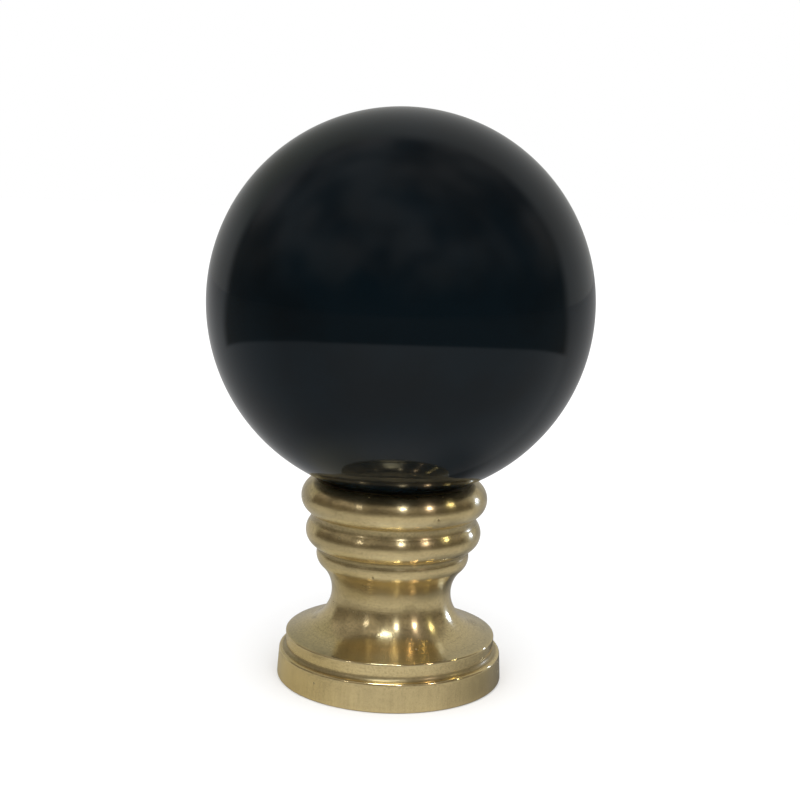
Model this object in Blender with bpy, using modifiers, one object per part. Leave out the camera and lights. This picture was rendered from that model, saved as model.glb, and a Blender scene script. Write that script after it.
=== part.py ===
"""Lamp shade finial: a glazed ball seated on a base turned from solid brass.

Metres, +Z up. The origin is the centre of the foot's underside, and Z is the axis of turning.
Every length below is set by itself. The heights and radii that depend on them are worked out:
round beads and the hollows between them touch without a corner, and the ball's place follows its seat.
"""

import math

import bmesh
import bpy
from mathutils import Vector

# Ball and its seat
BALL_DIAMETER = 0.03175
SEAT_GAP = 0.0003
SEAT_LIP_ANGLE = math.radians(70)  # where the dished seat ends on the upper bead, up from level

# Tapped hole in the underside, as a plain bore of the thread's outer size
BORE_DIAMETER = 0.00635
BORE_DEPTH = 0.010
BORE_MOUTH_CHAMFER = 0.0004
DRILL_POINT_ANGLE = math.radians(118)

# Neck: metal around the bore at the narrowest place, and the hollow that forms it
NECK_WALL = 0.00186
COVE_RADIUS = 0.0031
MOST_COVE_SHARE = 0.9  # of the width between neck and rim, where that is too narrow for the whole radius

# Beads, each by how far it stands out of the neck and by the radius of its round
LOWER_BEAD_STAND = 0.00138
LOWER_BEAD_RADIUS = 0.00128
MIDDLE_BEAD_STAND = 0.00232
MIDDLE_BEAD_RADIUS = 0.0014
UPPER_BEAD_STAND = 0.00276
UPPER_BEAD_RADIUS = 0.00154

# Grooves between beads, each by its depth below the smaller neighbour and by the radius of its floor
LOWER_GROOVE_DEPTH = 0.00006
LOWER_GROOVE_RADIUS = 0.00035
UPPER_GROOVE_DEPTH = 0.00041
UPPER_GROOVE_RADIUS = 0.0006

# Flange above the step
FLANGE_HEIGHT = 0.0014
FLANGE_FALL = math.radians(20)  # how steeply its top falls to the rim
FLANGE_TAPER = 0.00006
STEP_HOLLOW_RADIUS = 0.00025  # where its wall runs out into the step
RIM_ROUND = 0.00014

# Foot disc
FOOT_DIAMETER = 0.01905
FOOT_HEIGHT = 0.0024
FOOT_TAPER = 0.00015
STEP_WIDTH = 0.00053
STEP_FALL = 0.00006
FOOT_TOP_ROUND = 0.0002
FOOT_BOTTOM_ROUND = 0.0002

# Fineness of the facets
TURN_STEPS = 56
ARC_STEP = math.radians(20)
EDGE_ARC_STEP = math.radians(45)

TOUCH = 0.00001  # profile points this near the axis are on it


def on_circle(centre, radius, angle):
    return centre + radius * Vector((math.cos(angle), math.sin(angle)))


def arc(centre, radius, start, end, step=ARC_STEP):
    """Points on a circle in the profile's plane, from one angle to another, both ends included."""
    count = max(1, math.ceil(abs(end - start) / step))
    return [on_circle(centre, radius, start + (end - start) * i / count) for i in range(count + 1)]


def heading(start, end):
    """Angle of the direction from one point of the profile's plane to another."""
    return math.atan2(end.y - start.y, end.x - start.x)


def rounded_corner(before, corner, after, radius):
    """A small arc in place of a corner, outer or inner, no wider than half of either side."""
    inward = (before - corner).normalized()
    onward = (after - corner).normalized()
    half = inward.angle(onward) / 2
    room = 0.5 * min((before - corner).length, (after - corner).length)
    reach = min(radius / math.tan(half), room)
    centre = corner + (inward + onward).normalized() * reach / math.cos(half)
    start = heading(centre, corner + inward * reach)
    end = heading(centre, corner + onward * reach)
    turn = (end - start + math.pi) % (2 * math.pi) - math.pi
    return arc(centre, reach * math.tan(half), start, start + turn, EDGE_ARC_STEP)


def rise_between(bead_centre_radius, bead_radius, hollow_centre_radius, hollow_radius):
    """Height from a hollow's centre to the centre of a bead that touches it without a corner."""
    apart = bead_radius + hollow_radius
    return math.sqrt(apart**2 - (hollow_centre_radius - bead_centre_radius) ** 2)


class Turning:
    """The base's shape as circles and corners in the plane of radius and height."""

    def __init__(self):
        self.neck_radius = BORE_DIAMETER / 2 + NECK_WALL
        self.set_foot()
        self.set_cove()
        self.set_beads()
        self.set_seat()

    def set_foot(self):
        foot_radius = FOOT_DIAMETER / 2
        foot_top_radius = foot_radius - FOOT_TAPER
        self.rim = Vector((foot_top_radius - STEP_WIDTH, FOOT_HEIGHT + FLANGE_HEIGHT))
        self.step = Vector((self.rim.x - FLANGE_TAPER, FOOT_HEIGHT + STEP_FALL))
        self.foot_top = Vector((foot_top_radius, FOOT_HEIGHT))
        self.foot_bottom = Vector((foot_radius, 0))

    def set_cove(self):
        """The neck's hollow touches the straight fall of the flange's top."""
        reach = self.rim.x - self.neck_radius
        most = MOST_COVE_SHARE * reach / (1 - math.sin(FLANGE_FALL))
        self.cove_radius = min(COVE_RADIUS, most)
        centre_radius = self.neck_radius + self.cove_radius
        overhang = (centre_radius - self.rim.x) * math.sin(FLANGE_FALL)
        rise = (self.cove_radius - overhang) / math.cos(FLANGE_FALL)
        self.cove = Vector((centre_radius, self.rim.y + rise))

    def set_beads(self):
        """Beads and hollows from the top down, each as its centre and its radius."""
        beads = (
            (UPPER_BEAD_STAND, UPPER_BEAD_RADIUS),
            (MIDDLE_BEAD_STAND, MIDDLE_BEAD_RADIUS),
            (LOWER_BEAD_STAND, LOWER_BEAD_RADIUS),
        )
        grooves = ((UPPER_GROOVE_DEPTH, UPPER_GROOVE_RADIUS), (LOWER_GROOVE_DEPTH, LOWER_GROOVE_RADIUS))
        self.rounds = [(self.cove, self.cove_radius)]
        for index in reversed(range(len(beads))):
            stand, radius = beads[index]
            centre_radius = self.neck_radius + stand - radius
            hollow, hollow_radius = self.rounds[0]
            height = hollow.y + rise_between(centre_radius, radius, hollow.x, hollow_radius)
            self.rounds.insert(0, (Vector((centre_radius, height)), radius))
            if index == 0:
                break
            depth, groove_radius = grooves[index - 1]
            floor = self.neck_radius + min(stand, beads[index - 1][0]) - depth
            groove_height = height + rise_between(centre_radius, radius, floor + groove_radius, groove_radius)
            self.rounds.insert(0, (Vector((floor + groove_radius, groove_height)), groove_radius))

    def set_seat(self):
        """The ball's centre stands over the seat's lip, which lies on the upper bead."""
        bead, bead_radius = self.rounds[0]
        lip = on_circle(bead, bead_radius, SEAT_LIP_ANGLE)
        self.seat_radius = BALL_DIAMETER / 2 + SEAT_GAP
        self.ball = Vector((0, lip.y + math.sqrt(self.seat_radius**2 - lip.x**2)))
        self.seat_end = heading(self.ball, lip)

    def seat_outline(self):
        return arc(self.ball, self.seat_radius, -math.pi / 2, self.seat_end, math.radians(6))

    def beads_outline(self):
        """Each round starts where it touches the one above and ends where it touches the one below."""
        points = []
        start = SEAT_LIP_ANGLE
        cove_end = 1.5 * math.pi - FLANGE_FALL
        for index, (centre, radius) in enumerate(self.rounds):
            last = index == len(self.rounds) - 1
            end = cove_end if last else heading(centre, self.rounds[index + 1][0])
            hollow = index % 2 == 1
            if hollow and not last:
                end += 2 * math.pi
            points += arc(centre, radius, start, end)[1:]
            if not last:
                start = heading(self.rounds[index + 1][0], centre)
        return points

    def foot_outline(self, cove_end):
        chamfer_end = Vector((BORE_DIAMETER / 2 + BORE_MOUTH_CHAMFER, 0))
        return (
            rounded_corner(cove_end, self.rim, self.step, RIM_ROUND)
            + rounded_corner(self.rim, self.step, self.foot_top, STEP_HOLLOW_RADIUS)
            + rounded_corner(self.step, self.foot_top, self.foot_bottom, FOOT_TOP_ROUND)
            + rounded_corner(self.foot_top, self.foot_bottom, chamfer_end, FOOT_BOTTOM_ROUND)
            + [chamfer_end]
        )

    def bore_outline(self):
        radius = BORE_DIAMETER / 2
        point = radius / math.tan(DRILL_POINT_ANGLE / 2)
        return [Vector((radius, BORE_MOUTH_CHAMFER)), Vector((radius, BORE_DEPTH)), Vector((0, BORE_DEPTH + point))]

    def outline(self):
        """The whole profile: seat, down the outer side, across the underside and up the bore."""
        upper = self.seat_outline() + self.beads_outline()
        return upper + self.foot_outline(upper[-1]) + self.bore_outline()


def make_material(name, colour, metallic, roughness):
    material = bpy.data.materials.new(name)
    material.use_nodes = True
    shader = material.node_tree.nodes["Principled BSDF"]
    shader.inputs["Base Color"].default_value = (*colour, 1)
    shader.inputs["Metallic"].default_value = metallic
    shader.inputs["Roughness"].default_value = roughness
    material.diffuse_color = (*colour, 1)
    return material


def make_object(name, mesh, collection, material):
    made = bpy.data.objects.new(name, mesh)
    mesh.materials.append(material)
    collection.objects.link(made)
    return made


def make_base(turning, collection):
    """The base: its profile at +X, turned about Z."""
    outline = turning.outline()
    mesh = bpy.data.meshes.new("base")
    edges = [(i, i + 1) for i in range(len(outline) - 1)]
    mesh.from_pydata([(point.x, 0, point.y) for point in outline], edges, [])
    brass = make_material("brass", (0.60, 0.45, 0.20), 1, 0.28)
    base = make_object("base", mesh, collection, brass)
    screw = base.modifiers.new("Turned", "SCREW")
    screw.axis = "Z"
    screw.steps = TURN_STEPS
    screw.render_steps = TURN_STEPS
    screw.use_merge_vertices = True
    screw.merge_threshold = TOUCH
    screw.use_smooth_shade = True
    base.modifiers.new("Crisp edges", "WEIGHTED_NORMAL")
    return base


def make_ball(turning, collection):
    mesh = bpy.data.meshes.new("ball")
    shape = bmesh.new()
    bmesh.ops.create_uvsphere(shape, u_segments=TURN_STEPS, v_segments=TURN_STEPS // 2, radius=BALL_DIAMETER / 2)
    shape.to_mesh(mesh)
    shape.free()
    mesh.shade_smooth()
    glaze = make_material("black_glaze", (0.006, 0.007, 0.008), 0, 0.06)
    ball = make_object("ball", mesh, collection, glaze)
    ball.location = (0, 0, turning.ball.y)
    return ball


def main():
    for old in list(bpy.data.objects):
        bpy.data.objects.remove(old, do_unlink=True)
    collection = bpy.data.collections.new("lamp_shade_finial")
    bpy.context.scene.collection.children.link(collection)
    turning = Turning()
    make_base(turning, collection)
    make_ball(turning, collection)


main()
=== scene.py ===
"""Lamp shade finial: a black glazed ball on a turned brass base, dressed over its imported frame.

Metres, +Z up. Z is the axis of turning, and the middle of the foot's underside is the origin.
Angles in the profile's plane run from straight outwards towards straight up.
"""

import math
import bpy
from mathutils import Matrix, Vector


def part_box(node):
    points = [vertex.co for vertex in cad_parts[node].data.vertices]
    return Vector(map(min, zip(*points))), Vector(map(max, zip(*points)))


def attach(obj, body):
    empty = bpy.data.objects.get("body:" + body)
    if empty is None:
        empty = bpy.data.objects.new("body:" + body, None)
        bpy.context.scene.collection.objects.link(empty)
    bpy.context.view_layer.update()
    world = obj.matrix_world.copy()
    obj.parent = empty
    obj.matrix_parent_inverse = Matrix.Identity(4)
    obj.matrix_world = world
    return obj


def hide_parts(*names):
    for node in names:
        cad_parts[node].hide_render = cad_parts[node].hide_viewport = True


bl_info = {
    "name": "Lamp Shade Finial",
    "version": (1, 0, 0),
    "blender": (4, 5, 0),
    "location": "View3D > Sidebar > Finial",
    "description": "Builds a turned brass finial with a glazed ball, and a small studio for it",
    "category": "Object",
}

import bmesh
import bpy
from bpy.props import FloatProperty, FloatVectorProperty, PointerProperty
from bpy.types import Operator, Panel, PropertyGroup
from mathutils import Matrix, Vector, noise

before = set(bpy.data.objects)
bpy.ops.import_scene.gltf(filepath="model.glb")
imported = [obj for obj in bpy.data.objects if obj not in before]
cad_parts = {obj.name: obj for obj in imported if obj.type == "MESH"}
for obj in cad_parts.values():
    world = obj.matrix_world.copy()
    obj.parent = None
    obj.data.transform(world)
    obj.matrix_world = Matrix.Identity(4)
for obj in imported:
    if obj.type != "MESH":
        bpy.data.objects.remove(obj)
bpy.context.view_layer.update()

BALL_LOW, BALL_HIGH = (Vector(corner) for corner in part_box("ball"))
BASE_LOW, BASE_HIGH = (Vector(corner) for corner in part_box("base"))

# Fineness of the turned surface and of the ball
ARC_STEP = math.radians(3)
EDGE_ARC_STEP = math.radians(15)
TURN_STEPS = 192
BALL_SUBDIVISIONS = 7


def length(name, description, default):
    return FloatProperty(
        name=name, description=description, default=default, min=0, precision=5, step=0.01, unit="LENGTH"
    )


def angle(name, description, degrees):
    return FloatProperty(
        name=name,
        description=description,
        default=math.radians(degrees),
        min=-math.pi,
        max=math.pi,
        subtype="ANGLE",
    )


def share(name, description, default):
    return FloatProperty(name=name, description=description, default=default, min=0, max=1, subtype="FACTOR")


def colour(name, description, default):
    return FloatVectorProperty(
        name=name, description=description, default=default, min=0, max=1, size=3, subtype="COLOR"
    )


def strength(name, description, default):
    return FloatProperty(name=name, description=description, default=default, min=0)


class BallSettings(PropertyGroup):
    """Sizes and colours of the glazed ball."""

    diameter: length("Diameter", "Across the ball", BALL_HIGH.x - BALL_LOW.x)
    centre_height: length("Centre height", "Ball's centre over the floor", (BALL_HIGH.z + BALL_LOW.z) / 2)
    unevenness: length("Unevenness", "How far the fired glaze dips below a true sphere", 0.000012)
    ripple: length("Ripple", "Width of one dip in the glaze", 0.009)
    glaze: colour("Glaze", "Colour of the glaze", (0.0012, 0.0040, 0.0062))
    roughness: share("Roughness", "How soft the mirrored room looks", 0.07)


class BaseSettings(PropertyGroup):
    """Sizes of the turned base."""

    seat_gap: length("Seat gap", "Room between the ball and its dished seat", 0.00002)
    seat_round: length("Seat round", "Radius of the seat's edge", 0.00006)
    neck_radius: length("Neck radius", "Half the neck's width at its narrowest", 0.005035)
    cove_radius: length("Cove radius", "Hollow between the lower bead and the flange", 0.0031)
    lower_bead_stand: length("Lower bead stand", "How far it stands out of the neck", 0.00138)
    lower_bead_radius: length("Lower bead radius", "Radius of its round", 0.00128)
    middle_bead_stand: length("Middle bead stand", "How far it stands out of the neck", 0.00232)
    middle_bead_radius: length("Middle bead radius", "Radius of its round", 0.0014)
    upper_bead_stand: length("Upper bead stand", "How far it stands out of the neck", 0.00276)
    upper_bead_radius: length("Upper bead radius", "Radius of its round", 0.00154)
    lower_groove_depth: length("Lower groove depth", "Below the lower bead", 0.00006)
    lower_groove_radius: length("Lower groove radius", "Radius of its floor", 0.00035)
    upper_groove_depth: length("Upper groove depth", "Below the middle bead", 0.00041)
    upper_groove_radius: length("Upper groove radius", "Radius of its floor", 0.0006)
    flange_height: length("Flange height", "From the foot's top to the flange's rim", 0.0014)
    flange_fall: angle("Flange fall", "How steeply its top falls to the rim", 20)
    flange_taper: length("Flange taper", "How far its wall draws in below the rim", 0.00006)
    step_hollow: length("Step hollow", "Radius where the flange's wall runs out into the step", 0.00025)
    rim_round: length("Rim round", "Radius of the flange's rim", 0.00014)
    foot_diameter: length("Foot diameter", "Across the underside", BASE_HIGH.x - BASE_LOW.x)
    foot_height: length("Foot height", "From the underside to the step", 0.0024)
    foot_taper: length("Foot taper", "How far the foot's wall draws in", 0.00015)
    step_width: length("Step width", "From the foot's wall to the flange's", 0.00053)
    step_fall: length("Step fall", "How far the step falls outwards", 0.00006)
    foot_top_round: length("Foot top round", "Radius of the foot's upper edge", 0.0002)
    foot_bottom_round: length("Foot bottom round", "Radius of the foot's lower edge", 0.0002)
    bore_diameter: length("Thread diameter", "Outer diameter of the tapped thread", 0.00635)
    bore_depth: length("Bore depth", "Down to where the drill's point starts", 0.010)
    mouth_chamfer: length("Mouth chamfer", "Chamfer at the bore's mouth", 0.0004)
    mouth_round: length("Mouth round", "Radius of the chamfer's outer edge", 0.00003)
    drill_point: angle("Drill point", "Angle of the drill's point", 118)
    thread_pitch: length("Thread pitch", "From one turn to the next, 27 turns an inch", 0.0254 / 27)


class BrassSettings(PropertyGroup):
    """Colours of the base's brass, some of them painted shade and painted light, and how strongly each coat
    covers it where the coat is thickest.
    """

    clean: colour("Clean", "Colour of the clean brass", (0.93, 0.745, 0.385))
    # Painted light: a paler colour on the beads' downward-facing sides, standing in for the bright floor
    # they mirror
    underside_light: colour("Sheltered", "Colour on the undersides of the beads", (0.92, 0.79, 0.48))
    # Painted shade: a dull, darker colour on the flange's top round its rim, standing in for the darker
    # reflection there
    flange_shade: colour("Dull", "Colour round the flange's rim", (0.40, 0.37, 0.26))
    # Also the colour of the painted shade on the beads' upper sides and round the neck
    patina_and_shade: colour("Patina", "Colour in grooves and pits", (0.19, 0.148, 0.07))
    roughness: share("Roughness", "How softly the brass mirrors", 0.225)
    streaking: share("Streaking", "How much more it softens across the tool's marks than along them", 0.85)
    clouding: share("Clouding", "Darker clouds in the clean brass", 0.35)
    # How strongly the painted light on the beads' undersides covers them
    underside_lighting: share("Sheltering", "Sheltered colour under the beads", 0.6)
    tool_marks: share("Tool marks", "Patina in the tool's marks", 0.12)
    brush_lines: share("Brush lines", "Patina in fine upright lines on the foot's wall", 0.14)
    brush_bands: share("Brush bands", "Patina in broad upright bands on the foot's wall", 0.08)
    # Painted shade on the beads' upward-facing sides, standing in for the dim room they mirror: evenly, then
    # further in patches
    crown_shade: share("Crown patina", "Even patina on the upper sides of the beads", 0.08)
    crown_shade_patches: share("Crown patches", "Further patina there, in patches", 0.4)
    # Painted shade round the neck, under the lower bead
    throat_shade: share("Throat patina", "Patina round the neck, under the lower bead", 0.22)
    tarnish: share("Tarnish", "Patina in smears round the base", 0.42)
    grain: share("Grain", "Patina in specks all over, half as strong on the foot's wall", 0.26)
    # How strongly the painted shade round the flange's rim covers it
    flange_shading: share("Dulling", "Dull colour round the flange's rim", 0.38)
    grime: share("Grime", "Patina in the grooves", 0.55)
    pitting: share("Pitting", "Patina in the pits", 0.75)
    polish: share("Polish", "Bright brass on worn edges", 0.7)


class StageSettings(PropertyGroup):
    """Camera, floor and light."""

    lens: FloatProperty(name="Lens", description="Focal length", default=63, min=1, unit="CAMERA")
    camera_distance: length("Camera distance", "Level distance from the finial's axis", 0.114732)
    camera_height: length("Camera height", "Height over the floor", 0.042029)
    camera_pitch: angle("Camera pitch", "How far it looks down", 9.1179)
    camera_yaw: angle("Camera yaw", "How far it looks to the right", 0.1)
    camera_roll: angle("Camera roll", "How far it leans to the right", 1.96)
    floor_size: length("Floor size", "Length of the square floor's sides", 3.0)
    floor: colour("Floor", "Colour of the floor", (0.9, 0.9, 0.9))
    paper: strength("Paper", "Share of the floor's brightness that the finial mirrors", 0.43)
    paper_reach: length("Paper reach", "How far the mirrored pale floor runs round the finial", 0.105)
    backdrop: strength("Backdrop", "Brightness of the mirrored backdrop", 0.42)
    room: strength("Room", "Brightness of the mirrored dim room", 0.15)
    daylight: strength("Daylight", "Brightness of the soft light from all round", 1.2)


SETTINGS = {
    "finial_ball": BallSettings,
    "finial_base": BaseSettings,
    "finial_brass": BrassSettings,
    "finial_stage": StageSettings,
}


def on_circle(centre, radius, bearing):
    return centre + radius * Vector((math.cos(bearing), math.sin(bearing)))


def arc(centre, radius, start, end, step=ARC_STEP):
    """Points on a circle in the profile's plane, from one angle to another, both ends included."""
    count = max(1, math.ceil(abs(end - start) / step))
    return [on_circle(centre, radius, start + (end - start) * i / count) for i in range(count + 1)]


def heading(start, end):
    """Angle of the direction from one point of the profile's plane to another."""
    return math.atan2(end.y - start.y, end.x - start.x)


def rounded_corner(before, corner, after, radius):
    """A small arc in place of a corner, no wider than half of either side."""
    inward = (before - corner).normalized()
    onward = (after - corner).normalized()
    half = inward.angle(onward) / 2
    room = 0.5 * min((before - corner).length, (after - corner).length)
    reach = min(radius / math.tan(half), room)
    centre = corner + (inward + onward).normalized() * reach / math.cos(half)
    start = heading(centre, corner + inward * reach)
    end = heading(centre, corner + onward * reach)
    turn = (end - start + math.pi) % (2 * math.pi) - math.pi
    return arc(centre, reach * math.tan(half), start, start + turn, EDGE_ARC_STEP)


def rise_between(bead_centre_radius, bead_radius, hollow_centre_radius, hollow_radius):
    """Height from a hollow's centre to the centre of a bead that touches it without a corner."""
    apart = bead_radius + hollow_radius
    return math.sqrt(apart**2 - (hollow_centre_radius - bead_centre_radius) ** 2)


class Profile:
    """The base's outline as circles and corners in the plane of radius and height."""

    def __init__(self, sizes, ball):
        self.sizes = sizes
        self.set_foot()
        self.set_cove()
        self.set_beads()
        self.seat_centre = Vector((0, ball.centre_height))
        self.seat_radius = ball.diameter / 2 + sizes.seat_gap

    def set_foot(self):
        sizes = self.sizes
        foot_radius = sizes.foot_diameter / 2
        foot_top_radius = foot_radius - sizes.foot_taper
        self.rim = Vector((foot_top_radius - sizes.step_width, sizes.foot_height + sizes.flange_height))
        self.step = Vector((self.rim.x - sizes.flange_taper, sizes.foot_height + sizes.step_fall))
        self.foot_top = Vector((foot_top_radius, sizes.foot_height))
        self.foot_bottom = Vector((foot_radius, 0))

    def set_cove(self):
        """The neck's hollow touches the straight fall of the flange's top."""
        radius = self.sizes.cove_radius
        fall = self.sizes.flange_fall
        centre_radius = self.sizes.neck_radius + radius
        rise = (radius - (centre_radius - self.rim.x) * math.sin(fall)) / math.cos(fall)
        self.cove = Vector((centre_radius, self.rim.y + rise))

    def set_beads(self):
        """Beads and hollows from the top down, each as its centre and its radius."""
        sizes = self.sizes
        beads = (
            (sizes.upper_bead_stand, sizes.upper_bead_radius),
            (sizes.middle_bead_stand, sizes.middle_bead_radius),
            (sizes.lower_bead_stand, sizes.lower_bead_radius),
        )
        grooves = (
            (sizes.upper_groove_depth, sizes.upper_groove_radius),
            (sizes.lower_groove_depth, sizes.lower_groove_radius),
        )
        self.rounds = [(self.cove, sizes.cove_radius)]
        for index in reversed(range(len(beads))):
            stand, radius = beads[index]
            centre_radius = sizes.neck_radius + stand - radius
            hollow, hollow_radius = self.rounds[0]
            height = hollow.y + rise_between(centre_radius, radius, hollow.x, hollow_radius)
            self.rounds.insert(0, (Vector((centre_radius, height)), radius))
            if index == 0:
                break
            depth, groove_radius = grooves[index - 1]
            floor = sizes.neck_radius + min(stand, beads[index - 1][0]) - depth
            groove_centre = floor + groove_radius
            groove_height = height + rise_between(centre_radius, radius, groove_centre, groove_radius)
            self.rounds.insert(0, (Vector((groove_centre, groove_height)), groove_radius))

    def seat_outline(self):
        """From the axis out to the dish's edge, then level to the top of the upper bead."""
        bead, bead_radius = self.rounds[0]
        crown = bead + Vector((0, bead_radius))
        drop = self.seat_centre.y - crown.y
        edge = Vector((math.sqrt(self.seat_radius**2 - drop**2), crown.y))
        edge_angle = heading(self.seat_centre, edge)
        dish = arc(self.seat_centre, self.seat_radius, -math.pi / 2, edge_angle - ARC_STEP / 4)
        return dish + rounded_corner(dish[-1], edge, crown, self.sizes.seat_round) + [crown]

    def beads_outline(self):
        """Each round starts where it touches the one above and ends where it touches the one below."""
        points = []
        start = math.pi / 2
        cove_end = 1.5 * math.pi - self.sizes.flange_fall
        for index, (centre, radius) in enumerate(self.rounds):
            last = index == len(self.rounds) - 1
            end = cove_end if last else heading(centre, self.rounds[index + 1][0])
            hollow = index % 2 == 1
            if hollow and not last:
                end += 2 * math.pi
            points += arc(centre, radius, start, end)[1:]
            if not last:
                start = heading(self.rounds[index + 1][0], centre)
        return points

    def foot_outline(self, cove_end):
        """From the flange's rim down the walls and under the foot to the thread's mouth."""
        sizes = self.sizes
        bore_radius = sizes.bore_diameter / 2
        mouth = Vector((bore_radius + sizes.mouth_chamfer, 0))
        mouth_top = Vector((bore_radius, sizes.mouth_chamfer))
        corners = (
            (self.rim, sizes.rim_round),
            (self.step, sizes.step_hollow),
            (self.foot_top, sizes.foot_top_round),
            (self.foot_bottom, sizes.foot_bottom_round),
            (mouth, sizes.mouth_round),
        )
        path = [cove_end] + [corner for corner, radius in corners] + [mouth_top]
        points = []
        for index, (corner, radius) in enumerate(corners):
            points += rounded_corner(path[index], corner, path[index + 2], radius)
        return points + [mouth_top]

    def outline(self):
        upper = self.seat_outline() + self.beads_outline()
        return upper + self.foot_outline(upper[-1])


def outline_marks(points, window, concave):
    """How sharply the outline bends inwards or outwards near each point, as a number from 0 up."""
    places = [0]
    for before, after in zip(points, points[1:]):
        places.append(places[-1] + (after - before).length)
    bends = [0] * len(points)
    for i in range(1, len(points) - 1):
        turn = heading(points[i], points[i + 1]) - heading(points[i - 1], points[i])
        turn = (turn + math.pi) % (2 * math.pi) - math.pi
        bends[i] = max(0, turn if concave else -turn)
    return [
        sum(max(0, 1 - abs(place - other) / window) * bend for other, bend in zip(places, bends))
        for place in places
    ]


def limited(value, low, high):
    """Where a value stands between two others, from 0 to 1."""
    return min(1, max(0, (value - low) / (high - low)))


def with_short_steps(points, longest):
    """The same outline with points added on its long straight runs."""
    filled = [points[0]]
    for before, after in zip(points, points[1:]):
        count = math.ceil((after - before).length / longest)
        filled += [before.lerp(after, i / count) for i in range(1, count + 1)]
    return filled


class TurnedSurface:
    """Collects vertices and faces turned about Z, with a recess and a wear mark on each vertex."""

    def __init__(self, steps):
        self.steps = steps
        self.vertices = []
        self.faces = []
        self.recess = []
        self.wear = []

    def add(self, step, radius, height, recess, wear):
        """A vertex at one step of the turn, by its place in the profile and its marks."""
        bearing = 2 * math.pi * step / self.steps
        self.vertices.append((radius * math.cos(bearing), radius * math.sin(bearing), height))
        self.recess.append(recess)
        self.wear.append(wear)
        return len(self.vertices) - 1

    def ring(self, radius, height, recess=0, wear=0):
        """A ring of vertices, whose first one also closes it."""
        ring = [self.add(step, radius, height, recess, wear) for step in range(self.steps)]
        return ring + ring[:1]

    def fan(self, tip_height, ring, upward):
        """Closes a ring with a single vertex on the axis."""
        tip = self.add(0, 0, tip_height, 0, 0)
        for here, there in zip(ring, ring[1:]):
            self.faces.append((tip, here, there) if upward else (here, tip, there))

    def band(self, first, second):
        """Faces between two rows of vertices, as far as both go, the second further along the outline."""
        for i in range(min(len(first), len(second)) - 1):
            self.faces.append((first[i], second[i], second[i + 1], first[i + 1]))

    def mesh(self, name):
        mesh = bpy.data.meshes.new(name)
        mesh.from_pydata(self.vertices, [], self.faces)
        mesh.validate()
        for mark, values in (("recess", self.recess), ("wear", self.wear)):
            mesh.attributes.new(mark, "FLOAT", "POINT").data.foreach_set("value", values)
        mesh.shade_smooth()
        return mesh


# A turn of the thread from one groove to the next: share of the pitch, share of the thread's depth
THREAD_CORNERS = ((0, 0), (0.125, 0), (0.4375, 1), (0.6875, 1))
THREAD_DEPTH = 0.5413  # in pitches
THREAD_RECESS = 0.45  # how dark its patina is
PLAIN_DRILL = 0.0006  # left without a thread at the bore's end
THREAD_START = 0.00004  # above the mouth's chamfer


def add_thread(surface, sizes, mouth):
    """A right-handed thread from the mouth's ring up to the drilled end of the bore.

    The corners run up the bore as strands of one helix. Each turn's last strand meets the next turn's first.
    """
    steps = surface.steps
    depth = THREAD_DEPTH * sizes.thread_pitch
    outer = sizes.bore_diameter / 2
    drill_radius = outer - depth
    start = sizes.mouth_chamfer + THREAD_START
    turns = math.floor((sizes.bore_depth - PLAIN_DRILL - start) / sizes.thread_pitch) - 1
    last = turns * steps
    strands = []
    for pitch_share, depth_share in THREAD_CORNERS:
        more = steps if pitch_share == 0 else 0
        strand = []
        for step in range(last + more + 1):
            run_in = min(1, step / steps)
            run_out = min(1, max(0, (last - step) / steps))
            groove = (1 - depth_share * run_in) * run_out
            height = start + sizes.thread_pitch * (step / steps + pitch_share)
            strand.append(surface.add(step, drill_radius + depth * groove, height, THREAD_RECESS, 0))
        strands.append(strand)
    for lower, upper in zip(strands, strands[1:]):
        surface.band(lower, upper)
    surface.band(strands[-1], strands[0][steps:])

    # The first and last turns meet flat rings, where the helix leaves a step one pitch high
    first_turn = strands[0][: steps + 1]
    surface.band(mouth[:steps], first_turn[:steps])
    climb = [first_turn[steps]] + [strand[0] for strand in reversed(strands)] + [mouth[0], mouth[steps - 1]]
    for here, there in zip(climb, climb[1:]):
        surface.faces.append((first_turn[steps - 1], here, there))
    drilled = surface.ring(drill_radius, sizes.bore_depth, THREAD_RECESS)
    last_turn = strands[0][last:]
    surface.band(last_turn[1:], drilled[1:])
    climb = [drilled[1], drilled[0]] + [last_turn[steps]] + [strand[last] for strand in reversed(strands)]
    for here, there in zip(climb, climb[1:]):
        surface.faces.append((last_turn[1], here, there))
    tip = sizes.bore_depth + drill_radius / math.tan(sizes.drill_point / 2)
    surface.fan(tip, drilled, False)


# How far a bend in the outline marks the surface on either side, and the least bend that does
RECESS_WINDOW = 0.00045
LEAST_RECESS = 0.18
WEAR_WINDOW = 0.00014
LEAST_WEAR = 0.2
LONGEST_STEP = 0.00025


def base_mesh(profile):
    """The turned base as one closed surface, with its grooves and worn edges marked."""
    points = with_short_steps(profile.outline(), LONGEST_STEP)
    recesses = outline_marks(points, RECESS_WINDOW, True)
    wears = outline_marks(points, WEAR_WINDOW, False)
    surface = TurnedSurface(TURN_STEPS)
    rings = []
    for point, recess, wear in zip(points[1:], recesses[1:], wears[1:]):
        marks = (limited(recess, LEAST_RECESS, 1), limited(wear, LEAST_WEAR, 1))
        rings.append(surface.ring(point.x, point.y, *marks))
    for upper, lower in zip(rings, rings[1:]):
        surface.band(upper, lower)
    surface.fan(points[0].y, rings[0], True)
    add_thread(surface, profile.sizes, rings[-1])
    return surface.mesh("base")


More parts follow.
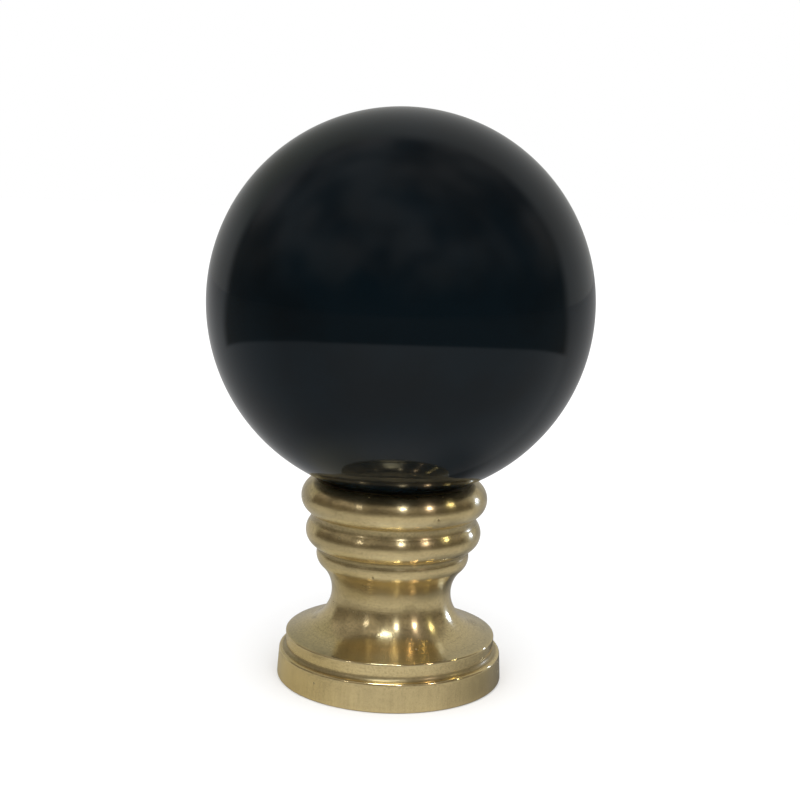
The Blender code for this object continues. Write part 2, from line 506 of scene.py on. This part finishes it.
def ball_mesh(ball):
    """A fired ball: a fine sphere whose glaze dips slightly and unevenly."""
    shape = bmesh.new()
    bmesh.ops.create_icosphere(shape, subdivisions=BALL_SUBDIVISIONS, radius=1)
    centre = Vector((0, 0, ball.centre_height))
    for vertex in shape.verts:
        outward = vertex.co.normalized()
        dip = (1 + noise.noise(outward * ball.diameter / ball.ripple)) / 2
        vertex.co = centre + outward * (ball.diameter / 2 - ball.unevenness * dip)
    mesh = bpy.data.meshes.new("ball")
    shape.to_mesh(mesh)
    shape.free()
    mesh.shade_smooth()
    return mesh


class Value:
    """A node's socket. Arithmetic on it adds Math nodes to its tree."""

    def __init__(self, tree, socket):
        self.tree = tree
        self.socket = socket

    def output(self, name):
        return Value(self.tree, self.socket.node.outputs[name])

    def math(self, operation, *values):
        return add_node(self.tree, "ShaderNodeMath", {"operation": operation}, values)

    def __add__(self, other):
        return self.math("ADD", self, other)

    __radd__ = __add__

    def __mul__(self, other):
        return self.math("MULTIPLY", self, other)

    __rmul__ = __mul__

    def __sub__(self, other):
        return self.math("SUBTRACT", self, other)

    def __rsub__(self, other):
        return self.math("SUBTRACT", other, self)

    def __truediv__(self, other):
        return self.math("DIVIDE", self, other)

    def __rtruediv__(self, other):
        return self.math("DIVIDE", other, self)

    def __pow__(self, other):
        return self.math("POWER", self, other)

    def __rpow__(self, other):
        return self.math("POWER", other, self)

    def or_more(self, other):
        return self.math("MAXIMUM", self, other)

    def between(self, low, high):
        """Rises smoothly from 0 at low to 1 at high."""
        smoothly = {"interpolation_type": "SMOOTHSTEP"}
        return add_node(self.tree, "ShaderNodeMapRange", smoothly, (self, low, high))


def add_node(tree, kind, settings=None, values=()):
    """Adds a node: its settings first, then its sockets' values or links, by order or by name."""
    node = tree.nodes.new(kind)
    for name, setting in (settings or {}).items():
        setattr(node, name, setting)
    for key, value in values.items() if isinstance(values, dict) else enumerate(values):
        if isinstance(value, Value):
            tree.links.new(value.socket, node.inputs[key])
        else:
            node.inputs[key].default_value = value
    return Value(tree, next(socket for socket in node.outputs if socket.enabled))


# Places of a colour Mix node's factor and colours among its sockets
MIX_FACTOR, MIX_FIRST, MIX_SECOND = 0, 6, 7


def opaque(wanted):
    """A colour as a socket takes it."""
    return wanted if isinstance(wanted, Value) else (*wanted, 1)


def mixed(tree, factor, first, second, blend="MIX"):
    """The first colour where the factor is 0 and the second where it is 1, or their product by MULTIPLY."""
    settings = {"data_type": "RGBA", "blend_type": blend}
    values = {MIX_FACTOR: factor, MIX_FIRST: opaque(first), MIX_SECOND: opaque(second)}
    return add_node(tree, "ShaderNodeMix", settings, values)


def new_material(name, constants):
    """A material whose shader has some sockets set to plain values."""
    material = bpy.data.materials.new(name)
    material.use_nodes = True
    shader = material.node_tree.nodes["Principled BSDF"]
    for socket, value in constants.items():
        shader.inputs[socket].default_value = value
    return material


def feed(material, links):
    """Links values to the material's shader."""
    shader = material.node_tree.nodes["Principled BSDF"]
    for socket, value in links.items():
        material.node_tree.links.new(value.socket, shader.inputs[socket])


def noise_at(tree, vector, scale, detail=2, fourth=None):
    """Noise from 0 to 1, with bumps about one part in scale of a metre wide."""
    values = {"Vector": vector, "Scale": scale, "Detail": detail}
    if fourth is None:
        return add_node(tree, "ShaderNodeTexNoise", {}, values)
    values["W"] = fourth
    return add_node(tree, "ShaderNodeTexNoise", {"noise_dimensions": "4D"}, values)


# Patterns in the brass, by how many of their marks fill a metre
TOOL_MARKS = 9000
BRUSH_LINES = 5200
BRUSH_BANDS = 1100
BROAD_CLOUDS = 420
FINE_CLOUDS = 2600
GRAIN = 6000
WAVES = 950
PITS = 720
SMEARS_UP = 800
SMEARS_OUT = 700
SMEARS_ROUND = 2  # to a radian
BRUSH_CLIMB = 0.06  # how slowly the brushing changes up the wall, next to round it

# How far each mark stands out of the brass, or goes into it
TOOL_MARK_RELIEF = 0.0000034
BRUSH_RELIEF = 0.0000022
FINE_RELIEF = 0.000005
WAVE_RELIEF = 0.00001
PIT_RELIEF = -0.00003

# How much rougher the brass is in each mark
GRIME_ROUGHNESS = 0.14
TARNISH_ROUGHNESS = 0.05
PIT_ROUGHNESS = 0.25
CLOUD_ROUGHNESS = 0.16
WORN_ROUGHNESS = -0.12

# How metallic it is, and how much less so in grime and pits
METALLIC = 0.99
GRIME_COVER = 0.05
PIT_COVER = 0.3

# How far the parts of the base reach for its colours
# The painted shade on the flange's top reaches this far above and below its rim
SHADE_ABOVE_RIM = 0.0009
SHADE_BELOW_RIM = 0.00015
BEAD_RISE = 0.0005
THROAT_RISE = 0.0007
THROAT_REACH = (0.001, 0.0003)

CLOUD_TONE = 0.86  # of the clean colour
POLISHED_TONE = 1.06
ACROSS_THE_MARKS = 0.25  # of a turn, from round the axis to up and down


class BrassMarks:
    """Values from 0 to 1 for the base's brass: the parts of its shape, and the marks and coats on them."""

    def __init__(self, tree, profile):
        self.tree = tree
        coordinates = add_node(tree, "ShaderNodeTexCoord")
        self.place = coordinates.output("Object")
        parts = add_node(tree, "ShaderNodeSeparateXYZ", values=(self.place,))
        self.across, self.along, self.height = (parts.output(axis) for axis in "XYZ")
        self.radius = (self.across * self.across + self.along * self.along) ** 0.5
        self.normal = coordinates.output("Normal")
        self.recess = self.mark_in_mesh("recess")
        self.wear = self.mark_in_mesh("wear")
        self.set_parts(profile)
        self.set_marks()

    def mark_in_mesh(self, name):
        return add_node(self.tree, "ShaderNodeAttribute", {"attribute_name": name}).output("Fac")

    def set_parts(self, profile):
        """The foot's wall, the flange's rim, the beads' upper and under sides, and the throat below them.
        All but the wall carry painted shade, and the under sides painted light.
        """
        sizes, height = profile.sizes, self.height
        wall_top = sizes.foot_height - 2 * sizes.foot_top_round
        self.wall = height.between(wall_top, wall_top - sizes.foot_top_round)
        self.wall *= height.between(0, sizes.foot_bottom_round)
        # Painted shade goes on a band round the flange's rim
        rim = profile.rim.y
        self.rim = height.between(rim + SHADE_ABOVE_RIM, rim) * height.between(rim - SHADE_BELOW_RIM, rim)
        facing_up = add_node(self.tree, "ShaderNodeSeparateXYZ", values=(self.normal,)).output("Z")
        neck = profile.cove.y
        above_neck = height.between(neck, neck + BEAD_RISE)
        # Painted shade goes on the beads' upward-facing sides
        self.crowns = facing_up.between(-0.15, 0.3) * above_neck
        # Painted light goes on the beads' downward-facing sides
        self.underside_light = facing_up.between(-0.1, -0.6) * above_neck
        # Painted shade goes round the neck just under the lower bead
        outer, inner = (sizes.neck_radius + reach for reach in THROAT_REACH)
        self.throat = self.radius.between(outer, inner) * height.between(neck, neck + THROAT_RISE)

    def noise_round(self, round_axis, up, outwards, detail):
        """Noise drawn out round the axis, by how fast it changes round it, up and outwards."""
        outward = (part / self.radius * round_axis for part in (self.across, self.along))
        vector = add_node(self.tree, "ShaderNodeCombineXYZ", values=(*outward, self.height * up))
        return noise_at(self.tree, vector, 1, detail, self.radius * outwards)

    def set_marks(self):
        """Marks of the tool and smears run round the base, and brushing runs up the foot's wall."""
        tree, place = self.tree, self.place
        self.turning = self.noise_round(1, TOOL_MARKS, TOOL_MARKS, 3)
        self.tarnish = self.noise_round(SMEARS_ROUND, SMEARS_UP, SMEARS_OUT, 4).between(0.54, 0.72)
        upright = (self.across, self.along, self.height * BRUSH_CLIMB)
        upright_place = add_node(tree, "ShaderNodeCombineXYZ", values=upright)
        self.brushing = noise_at(tree, upright_place, BRUSH_LINES, 3)
        self.banding = noise_at(tree, upright_place, BRUSH_BANDS, 2)
        self.broad = noise_at(tree, place, BROAD_CLOUDS, 3)
        self.fine = noise_at(tree, place, FINE_CLOUDS, 3)
        self.grain = noise_at(tree, place, GRAIN, 2)
        self.wavy = noise_at(tree, place, WAVES, 1)
        cells = add_node(tree, "ShaderNodeTexVoronoi", {}, {"Vector": place, "Scale": PITS})
        chosen = add_node(tree, "ShaderNodeSeparateColor", values=(cells.output("Color"),)).output("Red")
        self.pits = cells.between(0.10, 0.045) * chosen.between(0.54, 0.58)
        self.grime = (self.recess * (0.55 + self.fine)).between(0.12, 0.9)

    def coloured(self, brass):
        """The clean brass and its coats, each laid over the ones before it as far as a mask says."""
        turned = 1 - self.wall
        lines = self.brushing.between(0.4, 0.75) * brass.brush_lines
        bands = self.banding.between(0.4, 0.65) * brass.brush_bands
        # Painted shade on the beads' upper sides, partly in patches
        patches = brass.crown_shade + brass.crown_shade_patches * self.broad.between(0.38, 0.66)
        # Real patina in marks, grooves and pits, and painted shade on the beads' upper sides and round the
        # neck
        patina_and_shade = brass.patina_and_shade
        cloud = [CLOUD_TONE * part for part in brass.clean]
        bright = [min(1, POLISHED_TONE * part) for part in brass.clean]
        coats = (
            (self.broad.between(0.3, 0.75) * brass.clouding, cloud),
            # Painted light: paler colour on the beads' downward-facing sides
            (self.underside_light * brass.underside_lighting, brass.underside_light),
            (turned * self.turning.between(0.45, 0.8) * brass.tool_marks, patina_and_shade),
            (self.wall * (lines + bands), patina_and_shade),
            # Painted shade on the beads' upper sides and round the neck under the lower bead
            ((self.crowns * patches).or_more(self.throat * brass.throat_shade), patina_and_shade),
            (turned * self.tarnish * brass.tarnish, patina_and_shade),
            (self.grain.between(0.42, 0.7) * brass.grain * (1 - 0.5 * self.wall), patina_and_shade),
            # Painted shade: dull, darker colour round the flange's rim
            (self.rim * brass.flange_shading, brass.flange_shade),
            (self.grime * brass.grime, patina_and_shade),
            (self.pits * brass.pitting, patina_and_shade),
            (self.wear * brass.polish * (1 - self.pits), bright),
        )
        colour_so_far = brass.clean
        for mask, coat in coats:
            colour_so_far = mixed(self.tree, mask, colour_so_far, coat)
        return colour_so_far

    def rough(self, brass):
        return (
            brass.roughness
            + self.grime * GRIME_ROUGHNESS
            + self.tarnish * TARNISH_ROUGHNESS
            + self.pits * PIT_ROUGHNESS
            + (self.broad - 0.5) * CLOUD_ROUGHNESS
            + self.wear * WORN_ROUGHNESS
        )

    def relief(self):
        return (
            (1 - self.wall) * (1 - self.recess) * self.turning * TOOL_MARK_RELIEF
            + self.wall * self.brushing * BRUSH_RELIEF
            + self.fine * FINE_RELIEF
            + self.wavy * WAVE_RELIEF
            + self.pits * PIT_RELIEF
        )


def bumped(tree, relief):
    """The surface's direction where a relief in metres tilts it."""
    return add_node(tree, "ShaderNodeBump", {}, {"Strength": 1, "Distance": 1, "Height": relief})


def brass_material(profile, brass):
    """Turned brass: marks of the tool, brushing on the foot's wall, patina, pits and bright edges, with
    painted shade on the beads' upper sides, round the neck and on the flange's top, and painted light on the
    beads' undersides.
    """
    constants = {"Anisotropic": brass.streaking, "Anisotropic Rotation": ACROSS_THE_MARKS}
    material = new_material("turned_brass", constants)
    tree = material.node_tree
    marks = BrassMarks(tree, profile)
    feed(material, {
        "Base Color": marks.coloured(brass),
        "Metallic": METALLIC - GRIME_COVER * marks.grime - PIT_COVER * marks.pits,
        "Roughness": marks.rough(brass),
        "Normal": bumped(tree, marks.relief()),
    })
    material.diffuse_color = (*brass.clean, 1)
    return material


# Patterns in the glaze, by how many of their marks fill a metre
GLAZE_CLOUDS = 160
GLAZE_SKIN = 900
SKIN_RELIEF = 0.0000008
DEEPER_TONE = 0.6  # of the glaze's colour
CLOUDY_GLOSS = 0.03
GLAZE_INDEX = 1.34


def glaze_material(ball):
    """Black glaze, mirror-smooth but for a faint skin."""
    material = new_material("black_glaze", {"Metallic": 0, "IOR": GLAZE_INDEX})
    tree = material.node_tree
    place = add_node(tree, "ShaderNodeTexCoord").output("Object")
    cloud = noise_at(tree, place, GLAZE_CLOUDS, 3)
    skin = noise_at(tree, place, GLAZE_SKIN, 2)
    deeper = [DEEPER_TONE * part for part in ball.glaze]
    feed(material, {
        "Base Color": mixed(tree, cloud.between(0.35, 0.7), ball.glaze, deeper),
        "Roughness": ball.roughness + (cloud - 0.5) * CLOUDY_GLOSS,
        "Normal": bumped(tree, skin * SKIN_RELIEF),
    })
    material.diffuse_color = (*ball.glaze, 1)
    return material


def place_piece(context, name, mesh, material, node):
    """Adds a piece in place of its frame node, and of an older copy of itself."""
    if name in bpy.data.objects:
        bpy.data.objects.remove(bpy.data.objects[name], do_unlink=True)
    piece = bpy.data.objects.new(name, mesh)
    mesh.materials.append(material)
    context.scene.collection.objects.link(piece)
    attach(piece, "root")
    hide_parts(node)
    return piece


# Lamps, each by the angles it shines from: round from the camera towards +X, and up; then by the angles
# that its width and height fill seen from the finial, by its brightness and by its colour
LAMPS = (
    ("overhead", -11, 75, 20, 32, 10.5, (0.80, 0.88, 1)),
    ("left", -46, 30, 5, 5, 9, (0.9, 0.9, 1)),
    ("front", 12.5, 40, 5, 6, 32, (0.82, 0.86, 1)),
    ("right", 49, 36, 5, 6, 30, (1, 0.88, 0.92)),
    ("far_right", 84, 35, 4.5, 6, 20, (1, 0.95, 0.66)),
    ("behind_right", 124, 9, 4, 4, 60, (0.36, 0.50, 1)),
)
FLOOR_LAMPS = (("floor_front", 0, 50, 60, 60, 1.5, (1, 1, 1)),)
LAMP_DISTANCE = 0.6
LAMP_AIM = Vector((0, 0, 0.012))


def towards(azimuth, elevation):
    """Direction by degrees round from the camera's side towards +X, and degrees up."""
    azimuth, elevation = math.radians(azimuth), math.radians(elevation)
    level = math.cos(elevation)
    return Vector((level * math.sin(azimuth), -level * math.cos(azimuth), math.sin(elevation)))


def add_lamps(context, lamps, lit):
    """Soft oval lamps that light some objects only."""
    receivers = bpy.data.collections.new("lit")
    for lit_object in lit:
        receivers.objects.link(lit_object)
    for name, azimuth, elevation, width, height, brightness, tint in lamps:
        light = bpy.data.lights.new(name, "AREA")
        light.shape = "ELLIPSE"
        light.size = 2 * LAMP_DISTANCE * math.tan(math.radians(width) / 2)
        light.size_y = 2 * LAMP_DISTANCE * math.tan(math.radians(height) / 2)
        oval_area = math.pi * light.size * light.size_y / 4
        light.energy = math.pi * brightness * oval_area
        light.color = tint
        lamp = bpy.data.objects.new(name, light)
        lamp.location = LAMP_AIM + LAMP_DISTANCE * towards(azimuth, elevation)
        lamp.rotation_euler = (lamp.location - LAMP_AIM).to_track_quat("Z", "Y").to_euler()
        lamp.visible_camera = False
        lamp.light_linking.receiver_collection = receivers
        context.scene.collection.objects.link(lamp)


# The pale floor as the finial mirrors it
FLOOR_BEYOND = (0.088, 0.076, 0.060)  # past its edge
# Painted light and shade on the mirrored floor: shade towards the right, deeper behind and deepest close to
# the foot, shade to the left, warm light close on the left and a brighter pool close round the foot
FLOOR_CLOSE_LEFT = (0.39, 0.37, 0.30)
FLOOR_EDGE = (1.08, 0.98)  # of its reach
CLOSE = (0.024, 0.013)  # distances from the axis where closeness starts and is full
DIM_BEARING = (0.906, 0.423)  # rightwards and away, where it is dimmest
DIM_RIGHT, DIM_RIGHT_BEHIND, DIM_RIGHT_CLOSE = 0.12, 0.18, 0.53
DIM_LEFT, DIM_LEFT_CLOSE = 0.28, -0.06
BRIGHTER_CLOSE = 0.28

# The backdrop and the dim room as the finial mirrors them
BACKDROP_LEAN = 0.08  # how far its middle stands to the right of straight behind
BACKDROP_EDGE = (0.34, 0.50)
BACKDROP_TONE = (1.02, 1.02, 0.99)
BACKDROP_UPPER_LEFT = (0.74, 0.75, 0.66)
ROOM_LOW, ROOM_HIGH = (1, 0.86, 0.68), (1, 0.95, 0.92)
ROOM_BRIGHTNESS_LOW, ROOM_BRIGHTNESS_RISE = 0.6, 1.2
ROOM_CLOUDS = 2.2
ROOM_LEAST = 0.5  # of its brightness, where the clouds are darkest
DIMMER_RIGHT = 0.35


def in_backdrop(rightwards, away):
    """From 0 to 1 at the backdrop's soft edge, by a direction from the finial."""
    return (away + BACKDROP_LEAN * rightwards).between(*BACKDROP_EDGE)


def mirrored_floor(tree, stage):
    """A sheet that is dimmer than the floor and ends in the dim room, except before the backdrop."""
    place = add_node(tree, "ShaderNodeTexCoord").output("Object")
    parts = add_node(tree, "ShaderNodeSeparateXYZ", values=(place,))
    across, along = parts.output("X"), parts.output("Y")
    distance = (across * across + along * along) ** 0.5
    rightwards, away = across / distance, along / distance
    behind = in_backdrop(rightwards, away)
    near = distance.between(*(stage.paper_reach * part for part in FLOOR_EDGE))
    sheet = near + behind - near * behind
    # Painted light and shade near the foot: brighter close by, warmer on the left, a painted shadow on the
    # right
    close = distance.between(*CLOSE)
    dim_right = (DIM_BEARING[0] * rightwards + DIM_BEARING[1] * away).between(-0.3, 0.9)
    dim_left = rightwards.between(-0.2, -1)
    dimmed_right = dim_right * (DIM_RIGHT + DIM_RIGHT_BEHIND * behind + DIM_RIGHT_CLOSE * close)
    dimmed_left = dim_left * (DIM_LEFT + DIM_LEFT_CLOSE * close)
    brightness = (1 - dimmed_right - dimmed_left) * (1 + BRIGHTER_CLOSE * close)
    pale = mixed(tree, close * dim_left, [stage.paper * part for part in stage.floor], FLOOR_CLOSE_LEFT)
    return mixed(tree, sheet, FLOOR_BEYOND, mixed(tree, 1, pale, brightness, "MULTIPLY"))


def add_floor(context, stage):
    """A plain pale floor. The finial mirrors a dimmer one."""
    half = stage.floor_size / 2
    corners = [(-half, -half, 0), (half, -half, 0), (half, half, 0), (-half, half, 0)]
    mesh = bpy.data.meshes.new("floor")
    mesh.from_pydata(corners, [], [(0, 1, 2, 3)])
    floor = bpy.data.objects.new("floor", mesh)
    context.scene.collection.objects.link(floor)
    material = new_material("pale_floor", {"Roughness": 0.9, "Specular IOR Level": 0})
    tree = material.node_tree
    mirror_ray = add_node(tree, "ShaderNodeLightPath").output("Is Glossy Ray")
    feed(material, {"Base Color": mixed(tree, mirror_ray, stage.floor, mirrored_floor(tree, stage))})
    mesh.materials.append(material)
    return floor


def mirrored_room(tree, stage):
    """A backdrop behind the finial, and a dim room round the rest, cloudy overhead."""
    direction = add_node(tree, "ShaderNodeTexCoord").output("Generated")
    parts = add_node(tree, "ShaderNodeSeparateXYZ", values=(direction,))
    right, away, up = (parts.output(axis) for axis in "XYZ")
    far_right = right.between(0.45, 0.8) * (1 - away.between(-0.1, 0.3)) * (1 - up.between(0.6, 0.9))
    cloudy = noise_at(tree, direction, ROOM_CLOUDS, 1).between(0.3, 0.7)
    varied = (ROOM_LEAST + cloudy) * (1 - DIMMER_RIGHT * far_right)
    above = up.between(0, 0.3)
    upper = up.between(0.1, 0.6)
    rising = ROOM_BRIGHTNESS_LOW + ROOM_BRIGHTNESS_RISE * upper
    brightness = stage.room * rising * (1 - above + above * varied)
    room = mixed(tree, 1, mixed(tree, upper, ROOM_LOW, ROOM_HIGH), brightness, "MULTIPLY")
    upper_left = right.between(0.1, -0.5) * up.between(0.1, 0.5)
    tones = ([stage.backdrop * part for part in tone] for tone in (BACKDROP_TONE, BACKDROP_UPPER_LEFT))
    return mixed(tree, in_backdrop(right, away), room, mixed(tree, upper_left, *tones))


def add_room(context, stage):
    """Soft white light from all round. The finial mirrors a backdrop and a dim room in its place."""
    world = bpy.data.worlds.new("studio")
    world.use_nodes = True
    world.cycles.sampling_method = "NONE"
    tree = world.node_tree
    rays = add_node(tree, "ShaderNodeLightPath")
    daylight = (stage.daylight,) * 3
    lit = mixed(tree, rays.output("Is Glossy Ray"), daylight, mirrored_room(tree, stage))
    seen = mixed(tree, rays.output("Is Camera Ray"), lit, (1, 1, 1))
    tree.links.new(seen.socket, tree.nodes["Background"].inputs["Color"])
    context.scene.world = world


def add_camera(context, stage):
    """A camera in front of the finial that looks slightly down and leans to the right."""
    lens = bpy.data.cameras.new("camera")
    lens.lens = stage.lens
    lens.clip_start = 0.001
    camera = bpy.data.objects.new("camera", lens)
    pitch, yaw, roll = stage.camera_pitch, stage.camera_yaw, stage.camera_roll
    forward = Vector((math.sin(yaw) * math.cos(pitch), math.cos(yaw) * math.cos(pitch), -math.sin(pitch)))
    right = Vector((math.cos(yaw), -math.sin(yaw), 0))
    up = right.cross(forward)
    leaning_right = math.cos(roll) * right + math.sin(roll) * up
    leaning_up = math.cos(roll) * up - math.sin(roll) * right
    turn = Matrix((leaning_right, leaning_up, -forward)).transposed()
    place = Matrix.Translation((0, -stage.camera_distance, stage.camera_height))
    camera.matrix_world = place @ turn.to_4x4()
    context.scene.collection.objects.link(camera)
    context.scene.camera = camera


class FINIAL_OT_ball(Operator):
    """Build the glazed ball in place of its frame node"""

    bl_idname = "finial.ball"
    bl_label = "Glazed ball"
    bl_options = {"REGISTER", "UNDO"}

    def execute(self, context):
        settings = context.scene.finial_ball
        glaze = glaze_material(settings)
        place_piece(context, "glazed_ball", ball_mesh(settings), glaze, "ball")
        return {"FINISHED"}


class FINIAL_OT_base(Operator):
    """Build the turned brass base in place of its frame node"""

    bl_idname = "finial.base"
    bl_label = "Turned base"
    bl_options = {"REGISTER", "UNDO"}

    def execute(self, context):
        profile = Profile(context.scene.finial_base, context.scene.finial_ball)
        brass = brass_material(profile, context.scene.finial_brass)
        base = place_piece(context, "turned_base", base_mesh(profile), brass, "base")
        crisp = base.modifiers.new("Crisp edges", "WEIGHTED_NORMAL")
        crisp.keep_sharp = True
        return {"FINISHED"}


class FINIAL_OT_stage(Operator):
    """Add the floor, the light and the camera"""

    bl_idname = "finial.stage"
    bl_label = "Stage"
    bl_options = {"REGISTER", "UNDO"}

    def execute(self, context):
        settings = context.scene.finial_stage
        if "turned_base" not in bpy.data.objects:
            raise RuntimeError("The lamps shine on the turned base, so it is built before the stage")
        floor = add_floor(context, settings)
        add_lamps(context, LAMPS, (bpy.data.objects["turned_base"],))
        add_lamps(context, FLOOR_LAMPS, (floor,))
        add_room(context, settings)
        add_camera(context, settings)
        context.scene.view_settings.view_transform = "Standard"
        return {"FINISHED"}


class FINIAL_PT_pieces(Panel):
    """The finial's pieces and stage, each with its settings"""

    bl_idname = "FINIAL_PT_pieces"
    bl_label = "Lamp Shade Finial"
    bl_space_type = "VIEW_3D"
    bl_region_type = "UI"
    bl_category = "Finial"

    def draw(self, context):
        for step, groups in STEPS.items():
            box = self.layout.box()
            box.operator(step)
            for group in groups:
                for name in SETTINGS[group].__annotations__:
                    box.prop(getattr(context.scene, group), name)


STEPS = {
    "finial.ball": ("finial_ball",),
    "finial.base": ("finial_base", "finial_brass"),
    "finial.stage": ("finial_stage",),
}
CLASSES = (*SETTINGS.values(), FINIAL_OT_ball, FINIAL_OT_base, FINIAL_OT_stage, FINIAL_PT_pieces)


def register():
    for cls in CLASSES:
        bpy.utils.register_class(cls)
    for name, settings in SETTINGS.items():
        setattr(bpy.types.Scene, name, PointerProperty(type=settings))


def unregister():
    for name in SETTINGS:
        delattr(bpy.types.Scene, name)
    for cls in reversed(CLASSES):
        bpy.utils.unregister_class(cls)


def main():
    register()
    bpy.ops.finial.ball()
    bpy.ops.finial.base()
    bpy.ops.finial.stage()


if __name__ == "__main__":
    main()
